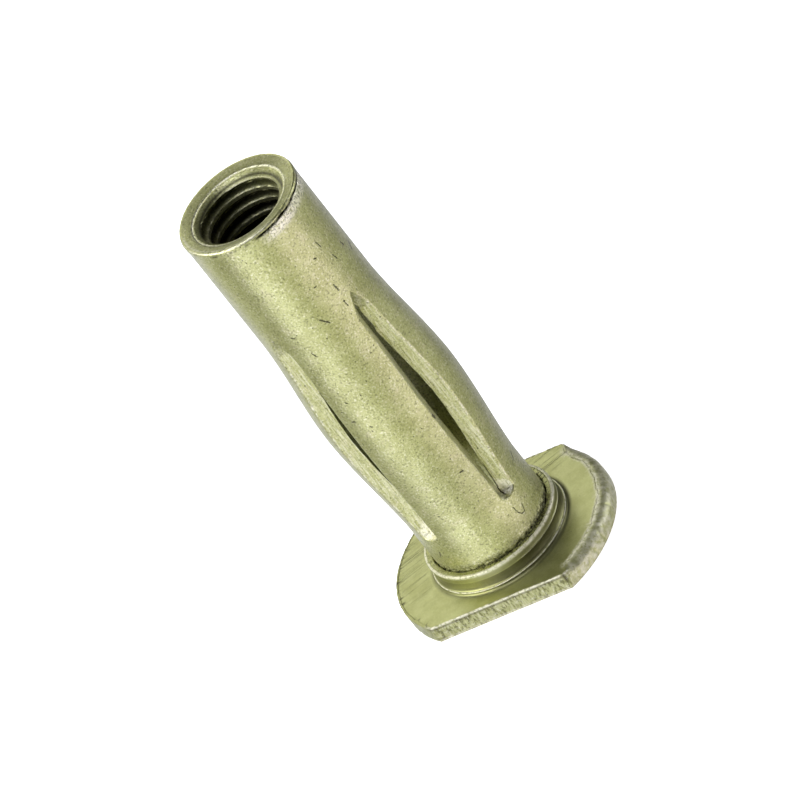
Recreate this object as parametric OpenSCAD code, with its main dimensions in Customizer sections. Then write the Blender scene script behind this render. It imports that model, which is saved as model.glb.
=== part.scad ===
// Slotted wall anchor: a threaded sleeve pressed into a collared flange.
// The sleeve stands along +Z on the outer face of the flange, which lies at z = 0. A screw driven in
// from that face draws the threaded end down and folds the four strips between the slots outward.

/* [Flange] */
// Diameter of the flange
flange_d = 24.26; // [22:0.02:28]
// Thickness of the flange
flange_t = 2; // [1.6:0.1:3]
// Distance from the axis to the nearer flat on the rim
near_flat = 9.5; // [9:0.1:10.5]
// Distance from the axis to the farther flat on the rim
far_flat = 10.24; // [9:0.02:10.5]
// Turn of the two flats about the axis, against the strips
flat_turn = -12.25; // [-45:0.25:45]
// Rounding of the flange's rim
rim_round = 0.35; // [0.1:0.05:0.6]

/* [Collar] */
// Outer diameter of the collar's straight band, which centres the anchor in its hole
collar_d = 15; // [14.6:0.1:15.4]
// Height of the collar above the flange
collar_h = 2.4; // [2:0.1:3]
// Step of the ring at the collar's foot
foot_ring = 0.18; // [0.1:0.02:0.3]
// Height of that ring above the flange
foot_ring_h = 0.4; // [0.3:0.05:0.6]
// Chamfer round the collar's upper edge
collar_chamfer = 0.12; // [0.05:0.01:0.3]

/* [Sleeve] */
// Outer diameter of the sleeve
sleeve_d = 13; // [12.8:0.1:13.4]
// Bore of the sleeve below the thread
bore_d = 10.6; // [10.4:0.05:10.8]
// Height of the open end above the flange's outer face
overall_h = 51.15; // [48:0.05:56]

/* [Strips] */
// Number of strips, and of slots between them
strip_count = 4; // [4:1:4]
// Width of each strip
strip_w = 7.44; // [7.2:0.02:7.46]
// Height at which the slots begin
slot_low = 9.4; // [8:0.1:10]
// Height at which the slots end
slot_high = 38.8; // [37.5:0.1:40]
// Height of the elbow, where the strips stand out most
elbow_z = 23.1; // [22.5:0.1:23.5]
// How far the strips stand out at the elbow
bulge = 0.93; // [0.2:0.01:1.2]
// Half the distance between the bends at a strip's foot and crown
link_h = 11.3; // [11:0.1:12]
// Clearance between solids that turn against each other
joint_gap = 0.03; // [0.02:0.01:0.06]

/* [Thread] */
// Nominal diameter of the screw
screw_d = 10; // [10:1:10]
// Pitch of the thread
pitch = 1.5; // [1.25:0.25:1.5]
// Diameter of the mouth at the open end
mouth_d = 10.16; // [10:0.02:10.6]
// Depth of the mouth's rim below the open end
mouth_depth = 0.29; // [0.1:0.01:0.5]
// Width of the chamfer round the open end
end_chamfer = 0.05; // [0.02:0.01:0.2]

/* [Hidden] */
$fn = 96;
sleeve_r = sleeve_d / 2;
bore_r = bore_d / 2;
flange_r = flange_d / 2;
collar_r = collar_d / 2;
thread_minor_r = (screw_d - 1.0825 * pitch) / 2;
foot_bend_z = elbow_z - link_h;
crown_bend_z = elbow_z + link_h;
bulge_top = 2 * elbow_z - slot_low;
strip_lean = atan(bulge / (elbow_z - slot_low));
thread_start = slot_high + (bore_r - thread_minor_r) * 0.7;
mouth_z = overall_h - mouth_depth;
thread_end = mouth_z - (mouth_d / 2 - thread_minor_r);
STEEL = [0.66, 0.64, 0.47];
SHADED_STEEL = [0.56, 0.54, 0.38];

STRIPS = [for (i = [1:strip_count]) i];

// Direction of strip i about the axis: strip 1 points along -Y and the rest follow anticlockwise.
function strip_turn(i) = -90 + (i - 1) * 360 / strip_count;

// Plain tube along +Z, from z = low to z = high.
module tube(low, high) {
    translate([0, 0, low]) difference() {
        cylinder(h = high - low, r = sleeve_r);
        translate([0, 0, -1]) cylinder(h = high - low + 2, r = bore_r);
    }
}

// The room that one strip takes between two heights, along +X.
module strip_room(low, high) {
    translate([0, -strip_w / 2, low]) cube([2 * sleeve_r, strip_w, high - low]);
}

// Stretch of a strip that leans outward as it rises from the foot.
module rising_strip(low, high) {
    intersection() {
        translate([0, 0, slot_low]) rotate([0, strip_lean, 0]) tube(-2, high - slot_low + 2);
        strip_room(low, high);
    }
}

// Stretch of a strip that leans back inward as it rises to the crown.
module falling_strip(low, high) {
    intersection() {
        translate([0, 0, bulge_top]) rotate([0, -strip_lean, 0]) tube(low - bulge_top - 2, 2);
        strip_room(low, high);
    }
}

// Disc with two flats, a turned collar and a hole in which the sleeve is pressed.
module flange() {
    color(STEEL) difference() {
        union() {
            intersection() {
                rotate_extrude() flange_profile();
                rotate([0, 0, flat_turn])
                    translate([-flange_r - 1, -near_flat, -1])
                        cube([2 * flange_r + 2, near_flat + far_flat, flange_t + 2]);
            }
            rotate_extrude() collar_profile();
        }
        translate([0, 0, -1]) cylinder(h = flange_t + collar_h + 2, r = sleeve_r);
    }
}

// Half section of the disc, with both edges of the rim rounded.
module flange_profile() {
    square([flange_r - rim_round, flange_t]);
    translate([0, rim_round]) square([flange_r, flange_t - 2 * rim_round]);
    for (z = [rim_round, flange_t - rim_round])
        translate([flange_r - rim_round, z]) circle(r = rim_round, $fn = 32);
}

// Half section of the collar: a straight band between a foot ring and a chamfered edge.
module collar_profile() {
    top = flange_t + collar_h;
    polygon([
        [bore_r, flange_t - 0.5],
        [collar_r + foot_ring, flange_t - 0.5],
        [collar_r + foot_ring, flange_t + foot_ring_h],
        [collar_r, flange_t + foot_ring_h + foot_ring],
        [collar_r, top - collar_chamfer],
        [collar_r - collar_chamfer, top],
        [bore_r, top]
    ]);
}

// Round foot of the sleeve, seated in the flange, with the roots of the strips.
module sleeve_foot() {
    color(STEEL) union() {
        tube(0, slot_low);
        for (i = STRIPS) rotate([0, 0, strip_turn(i)])
            rising_strip(slot_low, foot_bend_z - joint_gap / 2);
    }
}

// Strip i from its foot bend to the elbow.
module rib_lower(i) {
    color(STEEL) rotate([0, 0, strip_turn(i)])
        rising_strip(foot_bend_z + joint_gap / 2, elbow_z - joint_gap / 2);
}

// Strip i from the elbow to its crown bend.
module rib_upper(i) {
    color(SHADED_STEEL) rotate([0, 0, strip_turn(i)])
        falling_strip(elbow_z + joint_gap / 2, crown_bend_z - joint_gap / 2);
}

// End of strip i above its crown bend. Strip 1 is whole with the nose; the others stop just short of it.
module rib_crown(i) {
    top = i == 1 ? slot_high : slot_high - joint_gap;
    color(STEEL) rotate([0, 0, strip_turn(i)]) union() {
        falling_strip(crown_bend_z + joint_gap / 2, bulge_top);
        intersection() {
            tube(bulge_top, top);
            strip_room(bulge_top, top);
        }
    }
}

// Threaded end of the sleeve, at the thread's minor diameter, with a dished end face.
module threaded_nose() {
    color(SHADED_STEEL) rotate_extrude() polygon([
        [bore_r, slot_high],
        [sleeve_r, slot_high],
        [sleeve_r, overall_h - end_chamfer],
        [sleeve_r - end_chamfer, overall_h],
        [mouth_d / 2, mouth_z],
        [thread_minor_r, thread_end],
        [thread_minor_r, thread_start]
    ]);
}

flange();
sleeve_foot();
threaded_nose();
for (i = STRIPS) {
    rib_lower(i);
    rib_upper(i);
    rib_crown(i);
}
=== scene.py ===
"""Visual model of a slotted wall anchor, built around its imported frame.

The anchor is a steel sleeve pressed into a collared flange. Four slots leave four strips, which
fold outward when a screw draws the threaded nose towards the flange. Sizes here are in
millimetres, and become metres when a mesh is made.
"""

import logging
import math
from dataclasses import dataclass, field
from enum import Enum

import bpy
import numpy as np
from mathutils import Matrix, Vector, noise


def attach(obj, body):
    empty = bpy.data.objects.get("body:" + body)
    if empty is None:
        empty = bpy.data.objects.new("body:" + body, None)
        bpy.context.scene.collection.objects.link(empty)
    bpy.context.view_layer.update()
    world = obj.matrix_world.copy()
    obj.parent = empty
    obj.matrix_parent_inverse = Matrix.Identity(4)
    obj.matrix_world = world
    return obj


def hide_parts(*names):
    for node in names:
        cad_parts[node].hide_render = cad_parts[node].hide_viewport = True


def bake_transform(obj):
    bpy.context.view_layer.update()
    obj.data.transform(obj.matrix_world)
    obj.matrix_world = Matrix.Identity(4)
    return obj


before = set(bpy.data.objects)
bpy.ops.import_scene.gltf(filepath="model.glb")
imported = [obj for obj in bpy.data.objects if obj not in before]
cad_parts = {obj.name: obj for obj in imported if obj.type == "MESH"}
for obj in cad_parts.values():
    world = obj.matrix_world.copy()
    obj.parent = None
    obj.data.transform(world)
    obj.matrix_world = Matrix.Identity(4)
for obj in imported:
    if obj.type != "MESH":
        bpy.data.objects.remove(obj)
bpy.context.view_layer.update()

MM = 0.001
SHARP_ANGLE = math.radians(38)
STRIPS = (1, 2, 3, 4)
# Outer radius of the sleeve, shared by its form, its scratches and the flange's hole.
SLEEVE_R = 6.5
# Angle about the axis of the side that faces the camera, in degrees.
FACING = -75.5
log = logging.getLogger("anchor")


def ease(t: np.ndarray) -> np.ndarray:
    """Smooth step from 0 to 1, held flat outside that range."""
    t = np.clip(t, 0.0, 1.0)
    return t * t * (3 - 2 * t)


def bump_between(x: np.ndarray, low: float, high: float, soft: float) -> np.ndarray:
    """1 between low and high, fading to 0 over a distance of soft on either side."""
    return ease((x - low) / soft + 1) * ease((high - x) / soft + 1)


def wander(angle: np.ndarray, seed: int, lowest: int, waves: int = 9) -> np.ndarray:
    """Irregular line round a circle, mostly within -1 and 1.

    Args:
        angle: Angles in radians.
        seed: Picks one of the lines.
        lowest: Number of turns of the slowest wave.
        waves: Number of waves added up, each 1.5 times as fast as the last.

    Returns:
        One value for each angle.
    """
    phases = np.random.default_rng(seed).uniform(0, 2 * math.pi, waves)
    total = np.zeros_like(angle)
    for k, phase in enumerate(phases):
        total += np.sin(round(lowest * 1.5**k) * angle + phase) / (k + 1.5)
    return total


def azimuth(angle: np.ndarray) -> np.ndarray:
    """Angles in radians as degrees from -180 to 180."""
    return np.mod(np.degrees(angle) + 180, 360) - 180


def grain(points: np.ndarray, size: float, seed: int) -> np.ndarray:
    """Soft noise at points, from about -1 to 1.

    Args:
        points: The points, in millimetres.
        size: Width of the lumps, in millimetres.
        seed: Picks one of the patterns.

    Returns:
        One value for each point.
    """
    flat = points.reshape(-1, 3) / size + seed * 17.3
    values = np.array([noise.noise(Vector(p)) for p in flat])
    return values.reshape(points.shape[:-1])


def steps(*stops: tuple[float, float]) -> np.ndarray:
    """Values that run from stop to stop.

    Args:
        stops: Pairs of a value and the spacing used on the way to the next one.

    Returns:
        Rising or falling values, each stop included once.
    """
    parts = []
    for (start, spacing), (end, _) in zip(stops, stops[1:]):
        count = max(1, round(abs(end - start) / spacing))
        parts.append(np.linspace(start, end, count, endpoint=False))
    parts.append(np.array([stops[-1][0]]))
    return np.concatenate(parts)


class Mask(Enum):
    """Painted shares of a surface that the finishes read."""

    # Wear together with painted highlights.
    WEAR_AND_HIGHLIGHT = "wear_and_highlight"
    # Dirt together with painted shade.
    DIRT_AND_SHADE = "dirt_and_shade"
    SHEARED = "sheared"
    WALL = "wall"


@dataclass
class Skin:
    """A grid of points, in millimetres, with painted masks.

    Args:
        points: Rows by columns by 3.
        masks: One value per point for each mask that is used.
    """

    points: np.ndarray
    masks: dict[Mask, np.ndarray] = field(default_factory=dict)

    def _object(self, name: str, faces: list[tuple[int, ...]]) -> bpy.types.Object:
        """Makes the mesh object, with its rest place and masks stored on its points.

        Args:
            name: The piece's name.
            faces: The point numbers of each face.

        Returns:
            The new object.
        """
        flat = self.points.reshape(-1, 3)
        mesh = bpy.data.meshes.new(name)
        mesh.from_pydata((flat * MM).tolist(), [], faces)
        rest = mesh.attributes.new("rest", "FLOAT_VECTOR", "POINT")
        rest.data.foreach_set("vector", flat.astype(np.float32).ravel())
        for mask in Mask:
            values = self.masks.get(mask)
            layer = mesh.attributes.new(mask.value, "FLOAT", "POINT")
            if values is not None:
                clipped = np.clip(np.broadcast_to(values, self.points.shape[:2]), 0, 1)
                layer.data.foreach_set("value", clipped.astype(np.float32).ravel())
        mesh.shade_smooth()
        mesh.set_sharp_from_angle(angle=SHARP_ANGLE)
        made = bpy.data.objects.new(name, mesh)
        bpy.context.scene.collection.objects.link(made)
        return made

    def _quads(self, joined: bool) -> list[tuple[int, ...]]:
        """Quads between neighbouring rows, each row being a loop.

        Args:
            joined: Whether the last row meets the first.

        Returns:
            The point numbers of each quad.
        """
        rows, columns = self.points.shape[:2]
        faces = []
        for r in range(rows if joined else rows - 1):
            here, above = r * columns, (r + 1) % rows * columns
            for c in range(columns):
                across = (c + 1) % columns
                faces.append((here + c, here + across, above + across, above + c))
        return faces

    def ring(self, name: str) -> bpy.types.Object:
        """Closed ring: rows run round its section and columns round the axis."""
        return self._object(name, self._quads(joined=True))

    def bar(self, name: str) -> bpy.types.Object:
        """Closed bar: each row is a loop round it, and the two end rows are capped.

        Column c lies across the bar from column -1 - c, so each cap is a row of quads.

        Args:
            name: The piece's name.

        Returns:
            The new object.
        """
        rows, columns = self.points.shape[:2]
        faces = self._quads(joined=False)
        top = (rows - 1) * columns
        for c in range(columns // 2 - 1):
            across = columns - 1 - c
            faces.append((c, across, across - 1, c + 1))
            faces.append((top + c, top + c + 1, top + across - 1, top + across))
        return self._object(name, faces)


def lathe(rows: list[tuple], angle: np.ndarray) -> tuple[np.ndarray, np.ndarray]:
    """Spreads a section round the axis.

    Args:
        rows: A radius and a height for each row, each a number or a value per column.
        angle: The columns' angles.

    Returns:
        Radii and heights of the points, by row and column.
    """
    flat = np.zeros_like(angle)
    radius = np.array([flat + r for r, _ in rows])
    return radius, np.array([flat + z for _, z in rows])


def polar(radius: np.ndarray, angle: np.ndarray, height: np.ndarray) -> np.ndarray:
    """Points from radius, angle in radians and height, each broadcast to the others."""
    radius, angle, height = np.broadcast_arrays(radius, angle, height)
    return np.stack([radius * np.cos(angle), radius * np.sin(angle), height], axis=-1)


@dataclass(frozen=True)
class SleeveForm:
    """Shape of the sleeve's wall, its four slots and the bow of its strips, in millimetres.

    Attributes:
        outer_r: Outer radius.
        bore_r: Radius of the bore below the thread.
        groove_depth: Depth of the slots' V below the outer surface.
        groove_rounding: Rounding of the V's upper edges.
        foot_runout: Height at which the V begins.
        foot_full: Height at which it has its full depth.
        crown_full: Height up to which it has its full depth.
        strip_low: Height at which the strips are cut from the foot.
        strip_high: Height at which the strips are cut from the nose.
        crown_runout: Height at which the V ends.
        elbow_z: Height at which the strips stand out most.
        bow_height: How far they stand out there.
        edge_waver: How far the V's edges waver.
        crack_low: Height at which the cracks at the slots' feet begin.
        crack_high: Height at which they end.
        crack_soft: Height over which they fade.
    """

    outer_r: float = SLEEVE_R
    bore_r: float = 5.3
    groove_depth: float = 1.17
    groove_rounding: float = 0.11
    foot_runout: float = 8.85
    foot_full: float = 9.45
    crown_full: float = 35.9
    strip_low: float = 9.9
    strip_high: float = 36.8
    crown_runout: float = 38.85
    elbow_z: float = 23.1
    bow_height: float = 0.93
    edge_waver: float = 0.014
    crack_low: float = 9.05
    crack_high: float = 12.0
    crack_soft: float = 0.1

    def depth(self, z: np.ndarray) -> np.ndarray:
        """Depth of the slots' V below the outer surface.

        Args:
            z: Heights, in millimetres.

        Returns:
            The depth at each height.
        """
        low = (self.foot_full - z) / (self.foot_full - self.foot_runout)
        high = (z - self.crown_full) / (self.crown_runout - self.crown_full)
        foot = np.clip(1 - np.clip(low, 0, 1) ** 2, 0, 1) ** 0.62
        return self.groove_depth * foot * (1 - np.clip(high, 0, 1)) ** 0.8

    def outline(self, offset: np.ndarray, z: np.ndarray) -> np.ndarray:
        """Outer radius, with the V's walls past a strip's edge.

        Args:
            offset: Angles from a strip's middle, in radians.
            z: Heights, in millimetres.

        Returns:
            The radius at each place.
        """
        depth = self.depth(z)
        waver = self.edge_waver * np.sin(2.3 * z + 1.1) * np.sin(0.71 * z)
        half_width = (self.outer_r - depth) * math.sqrt(0.5) + waver * depth
        wall = half_width / np.maximum(np.sin(np.abs(offset)), 1e-6)
        soft = self.groove_rounding * depth / self.groove_depth + 1e-6
        near = np.clip(0.5 + 0.5 * (wall - self.outer_r) / soft, 0, 1)
        return wall + (self.outer_r - wall) * near - soft * near * (1 - near)

    def wall_share(self, offset: np.ndarray, z: np.ndarray) -> np.ndarray:
        """1 on the slots' walls and 0 on the outer surface."""
        return ease((self.outer_r - 0.07 - self.outline(offset, z)) / 0.1)

    def foot_wear_and_highlight(self, height: np.ndarray, radius: np.ndarray) -> np.ndarray:
        """Share of wear and painted highlight on the lower ends of the slots' walls, which rises
        towards the bottom.
        """
        limit = self.foot_runout + 1.0 + (self.outer_r - radius) * 1.4
        return ease((limit - height) / 0.3)

    def crack(self, height: np.ndarray) -> np.ndarray:
        """1 at the heights of the crack that runs down from each slot, and 0 elsewhere."""
        return bump_between(height, self.crack_low, self.crack_high, self.crack_soft)

    def bow(self, z: np.ndarray) -> np.ndarray:
        """How far a strip stands out from the round of the sleeve.

        Args:
            z: Heights, in millimetres.

        Returns:
            The distance at each height.
        """
        rise = (z - self.strip_low) / (self.elbow_z - self.strip_low)
        fall = (self.strip_high - z) / (self.strip_high - self.elbow_z)
        below = self._ramp(np.clip(rise, 0, 1), 0.75, 0.1)
        above = self._ramp(np.clip(fall, 0, 1), 0.1, 0.1)
        return self.bow_height * np.where(z < self.elbow_z, below, above)

    @staticmethod
    def _ramp(t: np.ndarray, start_slope: float, end_slope: float) -> np.ndarray:
        """Cubic from 0 to 1 with given slopes at its ends.

        Args:
            t: Values from 0 to 1.
            start_slope: Slope at 0.
            end_slope: Slope at 1.

        Returns:
            The cubic at each value.
        """
        return (
            start_slope * (t**3 - 2 * t**2 + t)
            + (3 * t**2 - 2 * t**3)
            + end_slope * (t**3 - t**2)
        )

    @staticmethod
    def offsets() -> np.ndarray:
        """Angles across one strip, close together where the slots' walls are."""
        half = np.radians(steps((0.0, 1.7), (34.0, 0.6), (44.6, 1.0)))
        return np.concatenate([-half[:0:-1], half])

    def around(self) -> tuple[np.ndarray, np.ndarray]:
        """Columns round the whole sleeve.

        Returns:
            The angle of each column about the axis, and its offset from the nearest strip.
        """
        offsets = np.concatenate([[-math.pi / 4], self.offsets()])
        angles = [strip_turn(i) + offsets for i in STRIPS]
        return np.concatenate(angles), np.tile(offsets, len(STRIPS))


def strip_turn(strip: int) -> float:
    """Angle about the axis of a strip's middle. Strip 1 faces -Y."""
    return (strip - 2) * math.pi / 2


class Wire:
    """A node's output that can be used in arithmetic."""

    def __init__(self, board: "Board", socket: bpy.types.NodeSocket) -> None:
        """Keeps the board that the node is on and the socket itself."""
        self.board = board
        self.socket = socket

    def _math(self, operation: str, *values: object) -> "Wire":
        """Adds a Math node on these values."""
        inputs = dict(enumerate(values))
        return self.board.node("ShaderNodeMath", {"operation": operation}, inputs)

    def __add__(self, other: object) -> "Wire":
        """self + other."""
        return self._math("ADD", self, other)

    def __radd__(self, other: object) -> "Wire":
        """other + self."""
        return self._math("ADD", other, self)

    def __sub__(self, other: object) -> "Wire":
        """self - other."""
        return self._math("SUBTRACT", self, other)

    def __rsub__(self, other: object) -> "Wire":
        """other - self."""
        return self._math("SUBTRACT", other, self)

    def __mul__(self, other: object) -> "Wire":
        """self * other."""
        return self._math("MULTIPLY", self, other)

    def __rmul__(self, other: object) -> "Wire":
        """other * self."""
        return self._math("MULTIPLY", other, self)

    def most(self, other: object) -> "Wire":
        """The greater of this and another value."""
        return self._math("MAXIMUM", self, other)


class Board:
    """The node tree of one material."""

    def __init__(self, name: str) -> None:
        """Makes the material with an empty tree.

        Args:
            name: The material's name.
        """
        self.material = bpy.data.materials.new(name)
        self.material.use_nodes = True
        self.tree = self.material.node_tree
        self.tree.nodes.clear()

    def node(
        self,
        kind: str,
        settings: dict[str, object] | None = None,
        inputs: dict[object, object] | None = None,
        output: object = 0,
    ) -> Wire:
        """Adds one node.

        Args:
            kind: The node's type.
            settings: Its properties.
            inputs: A value or a wire for each of its sockets.
            output: Which output to use.

        Returns:
            That output.
        """
        made = self.tree.nodes.new(kind)
        for key, value in (settings or {}).items():
            setattr(made, key, value)
        for key, value in (inputs or {}).items():
            if isinstance(value, Wire):
                self.tree.links.new(value.socket, made.inputs[key])
            else:
                made.inputs[key].default_value = value
        return Wire(self, made.outputs[output])

    def principled(self, inputs: dict[object, object]) -> None:
        """Adds the surface shader and connects it to the material's output.

        Args:
            inputs: A value or a wire for each of its sockets.
        """
        shader = self.node("ShaderNodeBsdfPrincipled", None, inputs, "BSDF")
        output = self.tree.nodes.new("ShaderNodeOutputMaterial")
        self.tree.links.new(shader.socket, output.inputs["Surface"])

    def mask(self, which: Mask) -> Wire:
        """A painted mask."""
        name = {"attribute_name": which.value}
        return self.node("ShaderNodeAttribute", name, output="Fac")

    def place(self) -> Wire:
        """The rest place of the surface, in millimetres."""
        name = {"attribute_name": "rest"}
        return self.node("ShaderNodeAttribute", name, output="Vector")

    def scaled(self, where: Wire, factors: tuple[float, float, float]) -> Wire:
        """A place with each coordinate multiplied."""
        inputs = {0: where, 1: factors}
        return self.node("ShaderNodeVectorMath", {"operation": "MULTIPLY"}, inputs)

    def turned(self, where: Wire, degrees: float) -> Wire:
        """A place turned about Z."""
        inputs = {"Vector": where, "Angle": math.radians(degrees)}
        return self.node("ShaderNodeVectorRotate", {"rotation_type": "Z_AXIS"}, inputs)

    def noise(self, where: Wire, scale: float, detail: float = 3.0) -> Wire:
        """Cloudy noise from 0 to 1."""
        inputs = {"Vector": where, "Scale": scale, "Detail": detail, "Roughness": 0.6}
        return self.node("ShaderNodeTexNoise", None, inputs)

    def cells(self, where: Wire, scale: float, feature: str) -> Wire:
        """Distance to a feature of scattered cells: F1, their points, or DISTANCE_TO_EDGE."""
        inputs = {"Vector": where, "Scale": scale}
        return self.node("ShaderNodeTexVoronoi", {"feature": feature}, inputs, "Distance")

    def band(self, value: Wire, low: float, high: float) -> Wire:
        """Smooth 0 to 1 as a value goes from low to high.

        Args:
            value: The value.
            low: Where the result is 0.
            high: Where the result is 1. It may be the smaller of the two.

        Returns:
            The result, held flat outside that range.
        """
        settings = {"interpolation_type": "SMOOTHSTEP"}
        start, end, ends = (low, high, (0.0, 1.0)) if low < high else (high, low, (1.0, 0.0))
        inputs = {0: value, 1: start, 2: end, 3: ends[0], 4: ends[1]}
        return self.node("ShaderNodeMapRange", settings, inputs)

    def vector(self, operation: str, output: str, **inputs: object) -> Wire:
        """Vector maths, with inputs a, b and scale."""
        sockets = {{"a": 0, "b": 1, "scale": "Scale"}[key]: v for key, v in inputs.items()}
        return self.node("ShaderNodeVectorMath", {"operation": operation}, sockets, output)

    def stroke(self, where: Wire, start: Vector, end: Vector, width: float) -> Wire:
        """Draws one line.

        Args:
            where: The place on the unrolled surface.
            start: One end of the line.
            end: Its other end.
            width: Distance from the line at which it has faded out.

        Returns:
            1 on the line and 0 away from it.
        """
        run = end - start
        reach = self.vector("SUBTRACT", "Vector", a=where, b=tuple(start))
        share = self.vector("DOT_PRODUCT", "Value", a=reach, b=tuple(run / run.length_squared))
        clamped = self.node("ShaderNodeClamp", None, {0: share})
        nearest = self.vector("SCALE", "Vector", a=tuple(run), scale=clamped)
        away = self.vector("DISTANCE", "Value", a=reach, b=nearest)
        return self.band(away, width, width * 0.3)

    def mix(self, factor: object, first: object, second: object) -> Wire:
        """A colour between first and second."""
        pair = {6: self._colour(first), 7: self._colour(second)}
        return self.node("ShaderNodeMix", {"data_type": "RGBA"}, {0: factor, **pair}, 2)

    @staticmethod
    def _colour(value: object) -> object:
        """A wire as it is, or a colour with its alpha."""
        return value if isinstance(value, Wire) else (*value, 1.0)


Colour = tuple[float, float, float]


@dataclass(frozen=True)
class Stroke:
    """A short scratch on the sleeve, between two places given by angle and height.

    Attributes:
        turn: Angle of the start about the axis, in degrees from the side that faces the camera.
        height: Height of the start, in millimetres.
        turn_end: Angle of the end.
        height_end: Height of the end.
        width: Width of the scratch, in millimetres.
    """

    turn: float
    height: float
    turn_end: float
    height_end: float
    width: float = 0.08

    def ends(self) -> tuple[Vector, Vector]:
        """Finds both ends on the unrolled sleeve.

        Returns:
            The start and the end, in millimetres.
        """
        start = Vector((math.radians(self.turn + FACING) * SLEEVE_R, self.height, 0.0))
        end = Vector((math.radians(self.turn_end + FACING) * SLEEVE_R, self.height_end, 0.0))
        return start, end


NOSE_STROKES = (
    Stroke(-6, 39.0, -0.5, 38.1, 0.11),
    Stroke(22.3, 40.9, 23, 40.1, 0.11),
    Stroke(20.5, 38.8, 21, 38.1, 0.10),
    Stroke(34, 45.5, 35.5, 44.7, 0.09),
    Stroke(23, 44.55, 24.5, 44.4, 0.09),
    Stroke(7.5, 42.25, 9, 42.2, 0.08),
    Stroke(-37, 38.6, -34.5, 38.4, 0.10),
    Stroke(40, 43.0, 41.5, 42.3, 0.07),
    Stroke(58, 42.6, 60, 42.0, 0.10),
    Stroke(67, 40.6, 72, 41.3, 0.14),
)
SLEEVE_STROKES = (
    Stroke(-30, 36.1, -28.5, 35.5, 0.09),
    Stroke(-37, 27.05, -35.5, 27.0, 0.13),
    Stroke(-32, 29.4, -31, 29.3, 0.09),
    Stroke(-41, 28.45, -39, 28.35, 0.08),
    Stroke(-26.5, 25.9, -25.5, 25.8, 0.09),
    Stroke(17.3, 22.7, 18.6, 22.2, 0.20),
    Stroke(7, 15.5, 9.3, 15.4, 0.13),
    Stroke(-32.3, 12.2, -31.3, 12.15, 0.10),
    Stroke(24.5, 7.8, 25.7, 6.9, 0.07),
    Stroke(25.7, 6.9, 28, 6.45, 0.07),
    Stroke(28, 6.45, 31.5, 6.4, 0.07),
    Stroke(31.5, 6.4, 34, 7.2, 0.07),
    Stroke(-60, 7.3, -63.5, 6.5, 0.09),
    Stroke(60, 10.4, 64, 11.1, 0.14),
)


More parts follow.
